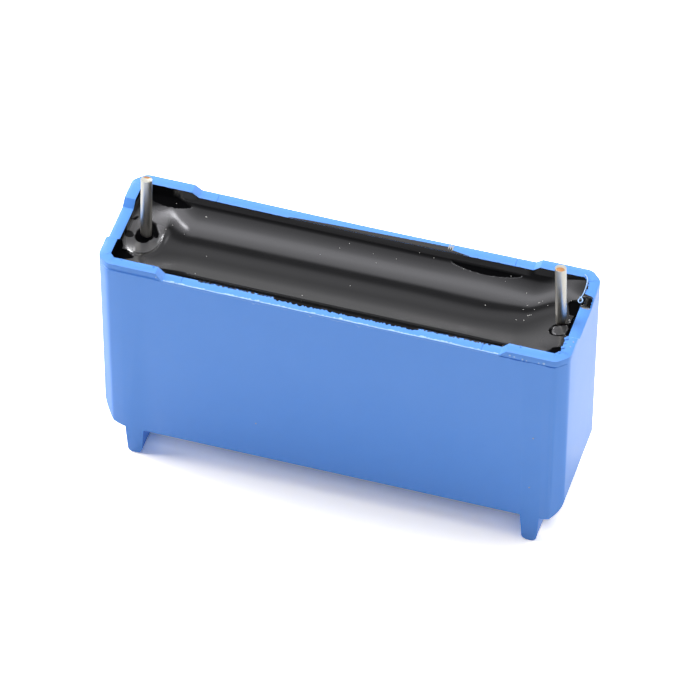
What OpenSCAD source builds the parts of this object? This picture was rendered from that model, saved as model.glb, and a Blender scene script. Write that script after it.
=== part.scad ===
// Box type film capacitor: a moulded case potted with resin, with two wire leads on its open side.
// The closed face is down, on four feet, and the leads point up. Millimetres, Z up,
// with the origin on the surface that it stands on, under the middle of the case.

/* [Case] */
// Length over the end walls, at the top of the standoffs
case_l = 42; // [32:0.5:60]
// Width over the long walls, at the top of the standoffs
case_w = 11.5; // [9.5:0.25:16]
// Height from the closed face to the open rim
case_h = 19.2; // [16:0.2:32]
// Thickness of the walls
wall = 1; // [0.8:0.05:1.4]
// Thickness of the closed face
floor_t = 1.2; // [0.8:0.1:2.4]
// Draft of the end walls, in degrees
end_draft = 0.75; // [0.1:0.05:1.5]
// Draft of the long walls, in degrees
side_draft = 0.6; // [0.1:0.05:1]
// Leg of the chamfer down each upright corner
corner_c = 1; // [0.7:0.05:1.6]
// Rounding between an end wall and the closed face
end_r = 2; // [1.6:0.1:3.5]

/* [Standoffs] */
// Height of the raised corners over the rim
standoff_h = 0.6; // [0.3:0.1:1.2]
// Length of a raised corner along the long wall
standoff_l = 5.4; // [3:0.1:9]
// Length of a raised corner along the end wall
standoff_w = 3.25; // [2:0.05:3.8]
// Run of the ramp from a raised corner down to the rim
ramp_run = 0.6; // [0.2:0.1:0.9]

/* [Feet] */
// Height of the feet under the closed face
foot_h = 3; // [1.5:0.1:5]
// Width of a foot at its root
foot_w = 1.65; // [1.2:0.05:2.4]
// Depth of a foot at its root, in from the long wall
foot_d = 3.6; // [2:0.1:4.2]
// Flat left on the closed face between an end's rounding and a foot
foot_land = 0.05; // [0.05:0.05:3]
// Taper of a foot's sides, in degrees
foot_taper = 4; // [1:0.5:6]
// Rounding of a foot's tip
foot_tip_r = 0.35; // [0.1:0.05:0.4]
// Fillet between a foot and the closed face
foot_root_r = 0.4; // [0.1:0.05:0.6]

/* [Resin] */
// How far the resin's edge stays below the rim
resin_drop = 0.25; // [0.1:0.05:0.6]
// Depth of the sunken trough in the resin
trough_depth = 1; // [0.4:0.1:1.8]
// Flat shelf between the walls and the trough
trough_shelf = 0.3; // [0.1:0.05:0.8]
// Least resin over the winding
resin_cover = 0.8; // [0.7:0.1:2]
// Least resin between the winding and the case
resin_gap = 0.35; // [0.2:0.05:0.9]
// Radius of the sunken ring round the left lead
dimple_r = 1.7; // [1:0.1:2.4]
// Depth of the sunken ring round the left lead
dimple_depth = 0.5; // [0.2:0.05:0.7]
// How far the small mound round the right lead reaches out from the wire
mound_lip = 0.3; // [0.1:0.05:0.3]
// Height of the small mound round the right lead
mound_h = 0.35; // [0.1:0.05:0.5]

/* [Element] */
// Distance from each end of the case to a lead, 2.25 for a pitch of 37.5 in a case of 42
lead_inset = 2.25; // [2.1:0.05:4]
// How far the leads and the winding sit off the middle of the case
element_shift = 0.25; // [-0.25:0.05:0.25]
// Diameter of the lead wire
wire_d = 1; // [0.8:0.05:1.2]
// Length of the leads above the standoffs
lead_proud = 5.4; // [3:0.1:25]
// Thickness of a lead's flattened tail
tail_t = 0.6; // [0.4:0.05:0.75]
// Length of a lead's flattened tail, where it is welded on
tail_l = 9; // [4:0.5:11]
// Height of a lead's round wire over the top of the winding
shank_gap = 0.2; // [0.1:0.05:0.25]
// Thickness of the sprayed metal on each end of the winding
contact_t = 0.6; // [0.3:0.1:1]

/* [Hidden] */
$fn = 96;

// Overlap of a cutting shape past the face that it cuts
over = 0.5;
// Length of an extrusion that has to pass right through the case
reach = 2 * (case_l + case_w);

// Heights above the surface that the capacitor stands on
closed_z = foot_h;
floor_z = closed_z + floor_t;
rim_z = closed_z + case_h;
top_z = rim_z + standoff_h;
tip_z = top_z + lead_proud;
resin_z = rim_z - resin_drop;
trough_z = resin_z - trough_depth;
winding_top_z = trough_z - resin_cover;
winding_low_z = floor_z + resin_gap;

// Half of the case's outer length, width and corner to corner distance, at a height
function half_l(z) = case_l / 2 - (top_z - z) * tan(end_draft);
function half_w(z) = case_w / 2 - (top_z - z) * tan(side_draft);
function half_c(z) = (half_l(z) + half_w(z) - corner_c) / sqrt(2);

// A foot's half widths, the lengths that its fillet and the end's rounding take up, and its place along the case
foot_half_root = foot_w / 2;
foot_half_tip = foot_half_root - foot_h * tan(foot_taper);
root_run = foot_root_r / tan(45 + foot_taper / 2);
end_run = end_r / tan(45 + end_draft / 2);
foot_x = half_l(closed_z) - end_run - foot_land - foot_half_root;

// The wound element, with its leads at the pitch
lead_x = case_l / 2 - lead_inset;
contact_face_x = lead_x - tail_t / 2;
winding_l = 2 * (contact_face_x - contact_t);
winding_w = 2 * (half_w(floor_z) - wall - resin_gap);
winding_h = winding_top_z - winding_low_z;
winding_mid_z = (winding_top_z + winding_low_z) / 2;

// A flattened tail keeps the section area of the round wire
tail_w = PI * pow(wire_d / 2, 2) / tail_t;

mound_r = wire_d / 2 + mound_lip;

// The trough is a shallow slice of a long round-ended roller
trough_half_w = half_w(resin_z) - wall - trough_shelf;
roller_r = (pow(trough_half_w, 2) + pow(trough_depth, 2)) / (2 * trough_depth);
roller_end_x = half_l(resin_z) - wall - trough_shelf - trough_half_w;

// Radius of a ball whose cap has this radius and height
function cap_ball_r(r, h) = (pow(r, 2) + pow(h, 2)) / (2 * h);

// Height of the trough's surface on its middle line, at a distance from the middle of the case
function trough_at(x) =
    let (past = max(0, abs(x) - roller_end_x))
    trough_z + roller_r - sqrt(pow(roller_r, 2) - pow(min(past, trough_half_w), 2));

function unit(v) = v / norm(v);

// Way that an end wall runs upwards, as a front view shows it
function wall_way(side) = [side * sin(end_draft), cos(end_draft)];

// Patch between a corner and the arc that rounds it, to take off that corner.
// The corner's two edges leave it along a and b, and the patch laps past them.
module corner_patch(corner, a, b, r) {
    turn = acos(a * b);
    run = r / tan(turn / 2);
    centre = corner + unit(a + b) * r / sin(turn / 2);
    past_a = over * unit((a * b) * a - b);
    past_b = over * unit((a * b) * b - a);
    difference() {
        polygon([corner - over * (a + b), corner + run * a + past_a, centre, corner + run * b + past_b]);
        translate(centre) circle(r = r);
    }
}

// Outline of a drafted slab, seen along its faces
module slab_outline(half_low, half_high, low_z, high_z) {
    polygon([[-half_low, low_z], [half_low, low_z], [half_high, high_z], [-half_high, high_z]]);
}

// Drafted slab whose two faces look along X, turned about Z
module slab(turn, half_low, half_high, low_z, high_z) {
    rotate([0, 0, turn]) along_y() slab_outline(half_low, half_high, low_z, high_z);
}

// Front outline of the cavity, with its lower corners rounded
module cavity_outline(high_z) {
    half_low = half_l(floor_z) - wall;
    half_high = half_l(high_z) - wall;
    difference() {
        slab_outline(half_low, half_high, floor_z, high_z);
        for (side = [-1, 1]) {
            corner_patch([side * half_low, floor_z], [-side, 0], wall_way(side), end_r - wall);
        }
    }
}

// Points round the right foot's front outline, from the fillet on its inner side to its outer side
foot_points = [
    [foot_x - foot_half_root - root_run, closed_z],
    [foot_x - foot_half_root + root_run * sin(foot_taper), closed_z - root_run * cos(foot_taper)],
    [foot_x - foot_half_tip, 0],
    [foot_x + foot_half_tip, 0],
    [foot_x + foot_half_root, closed_z]
];

// Front outline of the case with its feet
module case_outline() {
    half_low = half_l(closed_z);
    half_high = half_l(top_z);
    right_half = concat(foot_points, [[half_low, closed_z], [half_high, top_z]]);
    left_half = [for (i = [len(right_half) - 1 : -1 : 0]) [-right_half[i].x, right_half[i].y]];
    difference() {
        polygon(concat(right_half, left_half));
        for (side = [-1, 1]) {
            corner_patch([side * half_low, closed_z], [-side, 0], wall_way(side), end_r);
            translate([side * foot_points[0].x, closed_z - foot_root_r]) circle(r = foot_root_r);
            for (edge = [-1, 1]) {
                tip = [side * foot_x + edge * foot_half_tip, 0];
                corner_patch(tip, [-edge, 0], [edge * sin(foot_taper), cos(foot_taper)], foot_tip_r);
            }
        }
    }
}

// Bar through the case from front to back, from its front outline
module along_y() {
    rotate([90, 0, 0])
        linear_extrude(height = reach, center = true)
            children();
}

// Walls that the box and its cavity share: drafted sides and chamfered corners, inside the outer faces by inset
module side_walls(inset, low_z, high_z) {
    slab(90, half_w(low_z) - inset, half_w(high_z) - inset, low_z, high_z);
}

module corner_walls(turn, inset, low_z, high_z) {
    slab(turn, half_c(low_z) - inset, half_c(high_z) - inset, low_z, high_z);
}

// The box and its feet as one block, before it is hollowed
module outer_block() {
    intersection() {
        along_y() case_outline();
        side_walls(0, 0, top_z);
        corner_walls(45, 0, 0, top_z);
        corner_walls(-45, 0, 0, top_z);
    }
}

// Space inside the walls, from the closed face up past the standoffs
module cavity() {
    high_z = top_z + over;
    intersection() {
        along_y() cavity_outline(high_z);
        side_walls(wall, floor_z, high_z);
        corner_walls(45, wall, floor_z, high_z);
        corner_walls(-45, wall, floor_z, high_z);
    }
}

// Space between the front and the back foot at one end
module foot_notch(side) {
    half_root = half_w(foot_h) - foot_d;
    half_tip = half_root + foot_h * tan(foot_taper);
    notch_l = foot_w + 2 * foot_root_r + 2 * over;
    translate([side * foot_x, 0, 0])
        rotate([90, 0, 90])
            linear_extrude(height = notch_l, center = true)
                polygon([
                    [-half_tip - over * tan(foot_taper), -over],
                    [half_tip + over * tan(foot_taper), -over],
                    [half_root, foot_h],
                    [-half_root, foot_h]
                ]);
}

// Lowered stretch of the rim between two raised corners, as a cut through the case
module rim_cut(turn, half_rim) {
    half_top = half_rim + ramp_run * (1 + over / standoff_h);
    slab(turn, half_rim, half_top, rim_z, top_z + over);
}

module case() {
    color("cornflowerblue")
        difference() {
            outer_block();
            cavity();
            rim_cut(0, case_l / 2 - standoff_l - ramp_run);
            rim_cut(90, case_w / 2 - standoff_w - ramp_run);
            for (side = [-1, 1]) {
                foot_notch(side);
            }
        }
}

// Long round-ended roller that presses the trough into the resin
module trough_roller() {
    translate([0, 0, trough_z + roller_r])
        rotate([0, 90, 0])
            rotate_extrude()
                intersection() {
                    translate([0, -reach]) square([reach, 2 * reach]);
                    union() {
                        square([2 * roller_r, 2 * roller_end_x], center = true);
                        for (side = [-1, 1]) {
                            translate([0, side * roller_end_x]) circle(r = roller_r);
                        }
                    }
                }
}

// Outline of the flattened winding, seen along its length
module winding_outline() {
    square([winding_w, winding_h - winding_w], center = true);
    for (side = [-1, 1]) {
        translate([0, side * (winding_h - winding_w) / 2]) circle(d = winding_w);
    }
}

// Slice of the winding's section, from a place along the element towards +X
module winding_slice(from_x, length) {
    translate([element_shift + from_x, 0, winding_mid_z])
        rotate([90, 0, 90])
            linear_extrude(height = length)
                winding_outline();
}

module winding_body() {
    winding_slice(-winding_l / 2, winding_l);
}

module contact_body(side) {
    winding_slice(side > 0 ? winding_l / 2 : -winding_l / 2 - contact_t, contact_t);
}

// Round wire that clears the top of the winding, with a flattened tail down the sprayed metal
module lead_body(side) {
    tail_low_z = winding_top_z - tail_l;
    shank_low_z = winding_top_z + shank_gap;
    translate([element_shift + side * lead_x, 0, 0]) {
        translate([0, 0, shank_low_z]) cylinder(d = wire_d, h = tip_z - shank_low_z);
        translate([-tail_t / 2, -tail_w / 2, tail_low_z])
            cube([tail_t, tail_w, shank_low_z + wire_d / 4 - tail_low_z]);
    }
}

// Domed plug of resin that has crept up a lead, from its own foot up
module mound() {
    ball_r = cap_ball_r(mound_r, mound_h);
    rotate_extrude()
        intersection() {
            translate([0, -mound_h]) square([mound_r, 3 * mound_h]);
            translate([0, mound_h - ball_r]) circle(r = ball_r);
        }
}

module potting() {
    left_x = element_shift - lead_x;
    right_x = element_shift + lead_x;
    dimple_ball = cap_ball_r(dimple_r, dimple_depth);
    color("black")
        difference() {
            union() {
                difference() {
                    cavity();
                    translate([-reach / 2, -reach / 2, resin_z]) cube(reach);
                    trough_roller();
                }
                translate([right_x, 0, trough_at(right_x)]) mound();
            }
            translate([left_x, 0, trough_at(left_x) - dimple_depth + dimple_ball]) sphere(r = dimple_ball);
            winding_slice(-contact_face_x, 2 * contact_face_x);
            for (side = [-1, 1]) {
                lead_body(side);
            }
        }
}

module winding() {
    color("tan") winding_body();
}

module end_contact_left() {
    color("darkgray") contact_body(-1);
}

module end_contact_right() {
    color("darkgray") contact_body(1);
}

module lead_left() {
    color("silver") lead_body(-1);
}

module lead_right() {
    color("silver") lead_body(1);
}

case();
potting();
winding();
end_contact_left();
end_contact_right();
lead_left();
lead_right();
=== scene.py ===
# %% [markdown]
# # A potted film capacitor
# The real thing is a blue moulded box, filled with black casting resin, with two tinned wires on its open
# side. The solid model gives every piece its size and place. Here the pieces get the looks: soft moulded
# edges, flash on the parting line, a shrunken resin surface and wires that lean a little.

# %% Load the solid model
import math
import random

import bmesh
import bpy
import numpy as np
from mathutils import Matrix, Vector


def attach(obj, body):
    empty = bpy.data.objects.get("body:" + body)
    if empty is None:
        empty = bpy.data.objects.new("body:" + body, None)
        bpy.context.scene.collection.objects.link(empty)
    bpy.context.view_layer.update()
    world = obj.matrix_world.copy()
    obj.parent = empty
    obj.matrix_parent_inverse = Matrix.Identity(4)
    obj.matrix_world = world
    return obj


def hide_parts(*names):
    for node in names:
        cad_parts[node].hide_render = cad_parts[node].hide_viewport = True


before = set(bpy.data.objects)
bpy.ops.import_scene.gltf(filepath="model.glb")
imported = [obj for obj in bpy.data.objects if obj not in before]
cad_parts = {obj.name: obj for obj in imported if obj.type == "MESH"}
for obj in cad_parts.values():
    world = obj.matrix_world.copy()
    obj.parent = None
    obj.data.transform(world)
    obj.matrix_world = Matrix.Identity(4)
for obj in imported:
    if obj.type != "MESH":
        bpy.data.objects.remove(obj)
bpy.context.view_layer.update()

MM = 0.001

# %% [markdown]
# ## Tools for working by hand
# Blender's edit mode acts on whatever is selected. These helpers open one piece, select its parts by their
# place, and close it again, so that each later step reads like a list of hand movements.

# %% Helpers for edit mode
CUT_GAP = 0.001


def leave_edit_mode():
    if bpy.context.object and bpy.context.object.mode != "OBJECT":
        bpy.ops.object.mode_set(mode="OBJECT")


def select_only(*pieces):
    leave_edit_mode()
    bpy.ops.object.select_all(action="DESELECT")
    for piece in pieces:
        piece.select_set(True)
    if pieces:
        bpy.context.view_layer.objects.active = pieces[0]


def open_piece(piece):
    select_only(piece)
    bpy.ops.object.mode_set(mode="EDIT")
    bpy.ops.mesh.select_all(action="SELECT")


def pick(kind, wanted):
    """Select the vertices, edges or faces of the open piece that a test wants, and count them."""
    bpy.ops.mesh.select_mode(type=kind)
    bpy.ops.mesh.select_all(action="DESELECT")
    data = bpy.context.object.data
    mesh = bmesh.from_edit_mesh(data)
    items = {"VERT": mesh.verts, "EDGE": mesh.edges, "FACE": mesh.faces}[kind]
    found = [item for item in items if wanted(item)]
    for item in found:
        item.select_set(True)
    mesh.select_flush_mode()
    bmesh.update_edit_mesh(data)
    return len(found)


def pick_all():
    bpy.ops.mesh.select_mode(type="FACE")
    bpy.ops.mesh.select_all(action="SELECT")


def cut(point, normal, keep_all=True):
    """Cut the open piece with a plane. Without keep_all, the side that the normal points to is taken off."""
    pick_all()
    bpy.ops.mesh.bisect(
        plane_co=point,
        plane_no=normal,
        use_fill=not keep_all,
        clear_outer=not keep_all,
        threshold=CUT_GAP * MM,
    )


def draw_out(step):
    """Extrude the picked faces of the open piece by a step in mm."""
    bpy.ops.mesh.extrude_region_move(TRANSFORM_OT_translate={"value": [length * MM for length in step]})


# %% Helpers for places and sizes
def centre(face):
    return face.calc_center_median() / MM


def place(vertex):
    return vertex.co / MM


def surface_at(piece, start, towards):
    """Where a straight line from a place meets a piece, in mm."""
    hit, at, _, _ = piece.ray_cast(Vector(start) * MM, Vector(towards))
    if not hit:
        raise ValueError(f"{piece.name} isn't met from {tuple(start)}")
    return at / MM


def finished_size(piece):
    long, wide, high = piece.dimensions / MM
    return f"{piece.name}: {len(piece.data.polygons)} faces, {long:.2f} x {wide:.2f} x {high:.2f} mm"


# %% [markdown]
# ## Camera
# The photograph was taken from in front, a little to the right, and from about 45 degrees up, through a long
# lens. The view is nearly free of perspective, so the camera stands far off with a narrow field of view.

# %% Camera
VIEW_TURN, VIEW_RISE, VIEW_ROLL = (math.radians(a) for a in (16.706, 45.548, 0.269))
VIEW_TARGET = Vector((0.100, 0.0, 12.741)) * MM
VIEW_DISTANCE = 691.77 * MM
SENSOR_W, FOCAL_PX, PHOTO_PX = 36.0, 8016.0, 700.0
CLIP_NEAR, CLIP_FAR = 0.05, 20.0

backward = Vector((
    math.sin(VIEW_TURN) * math.cos(VIEW_RISE),
    -math.cos(VIEW_TURN) * math.cos(VIEW_RISE),
    math.sin(VIEW_RISE),
))
level_right = Vector((math.cos(VIEW_TURN), math.sin(VIEW_TURN), 0.0))
level_up = backward.cross(level_right)
view_right = math.cos(VIEW_ROLL) * level_right + math.sin(VIEW_ROLL) * level_up
view_up = math.cos(VIEW_ROLL) * level_up - math.sin(VIEW_ROLL) * level_right

camera = bpy.data.objects.new("camera", bpy.data.cameras.new("camera"))
bpy.context.scene.collection.objects.link(camera)
camera.data.sensor_width = SENSOR_W
camera.data.lens = FOCAL_PX * SENSOR_W / PHOTO_PX
camera.data.clip_start, camera.data.clip_end = CLIP_NEAR, CLIP_FAR
camera.matrix_world = Matrix((view_right, view_up, backward)).transposed().to_4x4()
camera.location = VIEW_TARGET + VIEW_DISTANCE * backward
bpy.context.scene.camera = camera
print("camera at, mm:", [round(v / MM, 1) for v in camera.location])

# %% [markdown]
# ## Case: the block
# The case is injection moulded, so every wall has a little draft and tapers towards the closed face. It
# starts as a cube of the full size. The closed face is scaled in, and the two edges where it meets the ends
# are rounded with a bevel. On this sample the left one is rounder.

# %% Case: drafted block with rounded ends
CASE_L, CASE_W = 42.0, 11.5
CLOSED_Z, RIM_Z, TOP_Z = 3.0, 22.2, 22.8
WALL, FLOOR_T = 1.0, 1.2
END_DRAFT, SIDE_DRAFT = math.tan(math.radians(0.75)), math.tan(math.radians(0.6))
ROUND_LEFT, ROUND_RIGHT, ROUND_STEPS = 2.6, 1.8, 10
NEAR = 0.01


def half_length(z):
    return CASE_L / 2 - (TOP_Z - z) * END_DRAFT


def half_width(z):
    return CASE_W / 2 - (TOP_Z - z) * SIDE_DRAFT


select_only()
bpy.ops.mesh.primitive_cube_add(size=MM, location=(0, 0, (CLOSED_Z + TOP_Z) / 2 * MM))
case = bpy.context.object
case.name = case.data.name = "moulded_case"
case.scale = (CASE_L, CASE_W, TOP_Z - CLOSED_Z)
bpy.ops.object.transform_apply()
open_piece(case)
pick("FACE", lambda f: f.normal.z < -0.9)
bpy.ops.transform.resize(
    value=(2 * half_length(CLOSED_Z) / CASE_L, 2 * half_width(CLOSED_Z) / CASE_W, 1),
    center_override=(0, 0, CLOSED_Z * MM),
)
for side, radius in ((-1, ROUND_LEFT), (1, ROUND_RIGHT)):
    pick("EDGE", lambda e: all(place(v).z < CLOSED_Z + NEAR and side * place(v).x > 0 for v in e.verts))
    bpy.ops.mesh.bevel(offset=radius * MM, segments=ROUND_STEPS)
leave_edit_mode()
print(finished_size(case))

# %% [markdown]
# ## Case: corners and cavity
# A chamfer runs down each upright corner. A slanting plane cuts it, because its edges lean with the draft.
# They are then softened. The cavity is an inset of the open face, pushed down and scaled in, so that the wall
# is even all round.

# %% Case: corners and cavity
CHAMFER, CORNER_SOFT = 1.0, 0.3
UPRIGHT = 5

open_piece(case)
corner_reach = (half_length(TOP_Z) + half_width(TOP_Z) - CHAMFER) / 2
for x in (-1, 1):
    for y in (-1, 1):
        point = Vector((x * corner_reach, y * corner_reach, TOP_Z)) * MM
        cut(point, Vector((x, y, -END_DRAFT - SIDE_DRAFT)).normalized(), keep_all=False)

upright_edges = pick("EDGE", lambda e: abs(place(e.verts[0]).z - place(e.verts[1]).z) > UPRIGHT)
bpy.ops.mesh.bevel(offset=CORNER_SOFT * MM, segments=3)
pick("FACE", lambda f: f.normal.z > 0.9)
bpy.ops.mesh.inset(thickness=WALL * MM)
floor_z = CLOSED_Z + FLOOR_T
draw_out((0, 0, floor_z - TOP_Z))
bpy.ops.transform.resize(
    value=(
        (half_length(floor_z) - WALL) / (CASE_L / 2 - WALL),
        (half_width(floor_z) - WALL) / (CASE_W / 2 - WALL),
        1,
    ),
    center_override=(0, 0, floor_z * MM),
)
leave_edit_mode()
print("corner edges:", upright_edges)
print(finished_size(case))

# %% [markdown]
# ## Case: standoffs
# The rim is raised at its corners, so that air and solvent get under the circuit board. Cuts across the rim
# mark where each ramp starts and ends, and the stretches between them are moved down. The back rim of this
# sample stands a little higher than the front one.

# %% Case: standoffs
STANDOFF_L, STANDOFF_W, RAMP = 5.4, 3.25, 0.6
BACK_RISE = 0.15
RIM_CUTS = range(-12, 13, 3)
LONG_RIM_Y = 4
rim_x, rim_y = CASE_L / 2 - STANDOFF_L - RAMP, CASE_W / 2 - STANDOFF_W - RAMP

open_piece(case)
for x in (-rim_x - RAMP, -rim_x, *RIM_CUTS, rim_x, rim_x + RAMP):
    cut((x * MM, 0, 0), (1, 0, 0))
for y in (-rim_y - RAMP, -rim_y, rim_y, rim_y + RAMP):
    cut((0, y * MM, 0), (0, 1, 0))
pick("VERT", lambda v: place(v).z > TOP_Z - NEAR and (
    abs(place(v).x) < rim_x + NEAR or abs(place(v).y) < rim_y + NEAR))
bpy.ops.transform.translate(value=(0, 0, (RIM_Z - TOP_Z) * MM))
pick("VERT", lambda v: abs(place(v).z - RIM_Z) < NEAR
     and place(v).y > LONG_RIM_Y and abs(place(v).x) < rim_x + NEAR)
bpy.ops.transform.translate(value=(0, 0, BACK_RISE * MM))
leave_edit_mode()
print(finished_size(case))

# %% [markdown]
# ## Case: feet
# Four feet carry the closed face. They could be blocks joined to the case, but a moulded foot grows out of
# its wall. So cuts mark their outlines on the closed face, and those faces are pulled down and tapered. Spare
# edges are dissolved, because the bevel that rounds the tips needs clean ones.

# %% Case: feet
FOOT_SPANS = ((-18.66, -17.0), (17.1, 18.82))
FOOT_D, FOOT_SOFT = 3.6, 0.48
FOOT_TAPER = math.tan(math.radians(4))
FOOT_HOLD, FOOT_SLACK, FACE_SLACK = 0.5, 0.1, 0.5
foot_edge_y = half_width(CLOSED_Z) - FOOT_D

open_piece(case)
for span in FOOT_SPANS:
    for x in span:
        cut((x * MM, 0, 0), (1, 0, 0))
for y in (-foot_edge_y, foot_edge_y):
    cut((0, y * MM, 0), (0, 1, 0))


def under_a_foot(face):
    at = centre(face)
    on_foot = any(low < at.x < high for low, high in FOOT_SPANS) and abs(at.y) > foot_edge_y
    return on_foot and face.normal.z < -0.9 and at.z < CLOSED_Z + FACE_SLACK


def on_tip(vertex, span):
    return place(vertex).z < NEAR and span[0] - FOOT_SLACK < place(vertex).x < span[1] + FOOT_SLACK


print("faces under the feet:", pick("FACE", under_a_foot))
draw_out((0, 0, -CLOSED_Z))
bpy.ops.transform.resize(value=(1, 1, 0), center_override=(0, 0, 0))
for span in FOOT_SPANS:
    narrower = 1 - 2 * CLOSED_Z * FOOT_TAPER / (span[1] - span[0])
    thinner = 1 - CLOSED_Z * (FOOT_TAPER + SIDE_DRAFT) / FOOT_D
    for y in (-1, 1):
        pick("VERT", lambda v: on_tip(v, span) and place(v).y * y > 0)
        bpy.ops.transform.resize(
            value=(narrower, thinner, 1),
            center_override=(sum(span) / 2 * MM, y * (half_width(CLOSED_Z) - FOOT_HOLD) * MM, 0),
        )
pick("FACE", lambda f: centre(f).z < CLOSED_Z - 0.3)
bpy.ops.mesh.dissolve_limited(angle_limit=math.radians(3))
for span in FOOT_SPANS:
    pick("EDGE", lambda e: all(on_tip(v, span) for v in e.verts)
         and abs(place(e.verts[0]).x - place(e.verts[1]).x) < 0.05)
    bpy.ops.mesh.bevel(offset=FOOT_SOFT * MM, segments=5)
leave_edit_mode()
print(finished_size(case))

# %% [markdown]
# ## Case: soft edges
# No moulded edge is perfectly sharp. All sharp edges get a narrow bevel, which catches the light as the real
# ones do. A bevel modifier could do it too, but the later cuts need the new edges in the mesh.

# %% Case: soft edges
EDGE_SOFT = 0.09
MERGE = 0.0005
SHARP = math.radians(28)

open_piece(case)
pick_all()
bpy.ops.mesh.remove_doubles(threshold=MERGE * MM)
bpy.ops.mesh.dissolve_degenerate(threshold=MERGE * MM)
bpy.ops.mesh.select_mode(type="EDGE")
bpy.ops.mesh.select_all(action="DESELECT")
bpy.ops.mesh.edges_select_sharp(sharpness=SHARP)
bpy.ops.mesh.bevel(offset=EDGE_SOFT * MM, segments=2, clamp_overlap=True)
leave_edit_mode()
print(finished_size(case))

# %% [markdown]
# ## Case: marks of the mould
# The mould leaves fine lines across the rim, a small step at the left of the front rim and a ragged groove at
# its right. A texture could paint them, but their edges catch the light, so planes cut them into the mesh.

# %% Case: witness lines, step and groove
LINE_X, LINE_HALF, LINE_DEPTH = 13.38, 0.06, 0.05
STEP_X, STEP_Z, STEP_H, STEP_IN = (-20.6, -15.1), 22.13, 0.05, 0.13
GROOVE_Z, GROOVE_HALF, GROOVE_DEPTH, GROOVE_RAGGED = 22.1, 0.08, 0.2, 0.06
GROOVE_X, GROOVE_CUT_X, GROOVE_PITCH, GROOVE_CUTS = 15, 15.2, 0.31, 16
FRONT_Y, CORNER_Y = -5.5, -5
chance = random.Random(5)

open_piece(case)
for x in (-LINE_X, LINE_X):
    for offset in (-LINE_HALF, 0, LINE_HALF):
        cut(((x + offset) * MM, 0, 0), (1, 0, 0))
pick("VERT", lambda v: place(v).z > RIM_Z - NEAR and abs(abs(place(v).x) - LINE_X) < NEAR)
bpy.ops.transform.translate(value=(0, 0, -LINE_DEPTH * MM))

for z in (STEP_Z, STEP_Z + STEP_H, GROOVE_Z - GROOVE_HALF, GROOVE_Z, GROOVE_Z + GROOVE_HALF):
    cut((0, 0, z * MM), (0, 0, 1))
pick("VERT", lambda v: place(v).z > STEP_Z + STEP_H - 0.02
     and place(v).y < FRONT_Y and STEP_X[0] < place(v).x < STEP_X[1])
bpy.ops.transform.translate(value=(0, STEP_IN * MM, 0))
for i in range(GROOVE_CUTS):
    cut(((GROOVE_CUT_X + GROOVE_PITCH * i) * MM, 0, 0), (1, 0, 0))
print("groove:", pick("VERT", lambda v: abs(place(v).z - GROOVE_Z) < NEAR
                     and place(v).y < FRONT_Y and place(v).x > GROOVE_X))
bpy.ops.transform.translate(value=(0, GROOVE_DEPTH * MM, 0))
for vertex in bmesh.from_edit_mesh(case.data).verts:
    at = place(vertex)
    on_lip = abs(abs(at.z - GROOVE_Z) - GROOVE_HALF) < NEAR
    if on_lip and at.y < CORNER_Y and at.x > GROOVE_X:
        vertex.co.z += chance.uniform(-GROOVE_RAGGED, GROOVE_RAGGED) * MM
bmesh.update_edit_mesh(case.data)
leave_edit_mode()
print(finished_size(case))

# %% [markdown]
# ## Case: bowed rims
# The long walls have shrunk inwards a little between the corners, mostly the back one. The middle of each rim
# is pushed in with proportional editing, which fades out towards the ends and the closed face, as a shrunken
# wall does. Its reach is a ball, so each push also moves the other rim a little.

# %% Case: bowed rims
BOW_FRONT, BOW_BACK, BOW_REACH = 0.05, 0.13, 17
BOW_HALF, BOW_Y, BOW_GRIP = 1.5, 4.4, 0.35


def bow(piece):
    open_piece(piece)
    for side, depth in ((-1, BOW_FRONT), (1, BOW_BACK)):
        pick("VERT", lambda v: place(v).z > RIM_Z - BOW_GRIP
             and side * place(v).y > BOW_Y and abs(place(v).x) < BOW_HALF)
        bpy.ops.transform.translate(
            value=Vector((0, -side * depth, 0)) * MM,
            use_proportional_edit=True,
            proportional_edit_falloff="SMOOTH",
            proportional_size=BOW_REACH * MM,
        )
    leave_edit_mode()


bow(case)
select_only(case)
bpy.ops.object.shade_smooth_by_angle(angle=math.radians(32))
print(finished_size(case))

# %% [markdown]
# ## Resin
# The resin shrinks as it cures, and leaves a long trough that mirrors the room. A mirror shows every uneven
# slope, so this surface isn't pushed about by hand: a fine grid is raised and lowered by a formula. The grid
# is crowded towards its ends, where the bowl round the left wire and the dome at the right one are small.

# %% Resin: the raw surface
RESIN_Z = RIM_Z - 0.2
LAP = 0.03
GRID_X, GRID_Y, CROWDING = 440, 150, 0.3
cavity_l, cavity_w = half_length(RESIN_Z) - WALL + LAP, half_width(RESIN_Z) - WALL + LAP
inner_reach = corner_reach - (WALL - LAP) / math.sqrt(2)

select_only()
bpy.ops.mesh.primitive_grid_add(x_subdivisions=GRID_X, y_subdivisions=GRID_Y, size=2)
resin = bpy.context.object
resin.name = resin.data.name = "resin_fill"
for vertex in resin.data.vertices:
    share, y, _ = vertex.co
    share += CROWDING * (share - share ** 3)
    vertex.co = Vector((share * cavity_l, y * cavity_w, RESIN_Z)) * MM
open_piece(resin)
for x in (-1, 1):
    for y in (-1, 1):
        pick_all()
        bpy.ops.mesh.bisect(
            plane_co=Vector((x * inner_reach, y * inner_reach, RESIN_Z)) * MM,
            plane_no=Vector((x, y, 0)).normalized(),
            use_fill=False,
            clear_outer=True,
        )
leave_edit_mode()
bow(resin)
print(finished_size(resin))

# %% [markdown]
# ## Resin: forms
# A formula for a whole surface is easier to read as a sum of simple forms. Each of these takes the places of
# all vertices, in mm, and says how much of its form each of them gets.

# %% Resin: forms to build the surface from
OVAL_SOFT, PATCH_SOFT = 0.2, 0.14


def ease(share):
    share = np.clip(share, 0, 1)
    return share * share * (3 - 2 * share)


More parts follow.
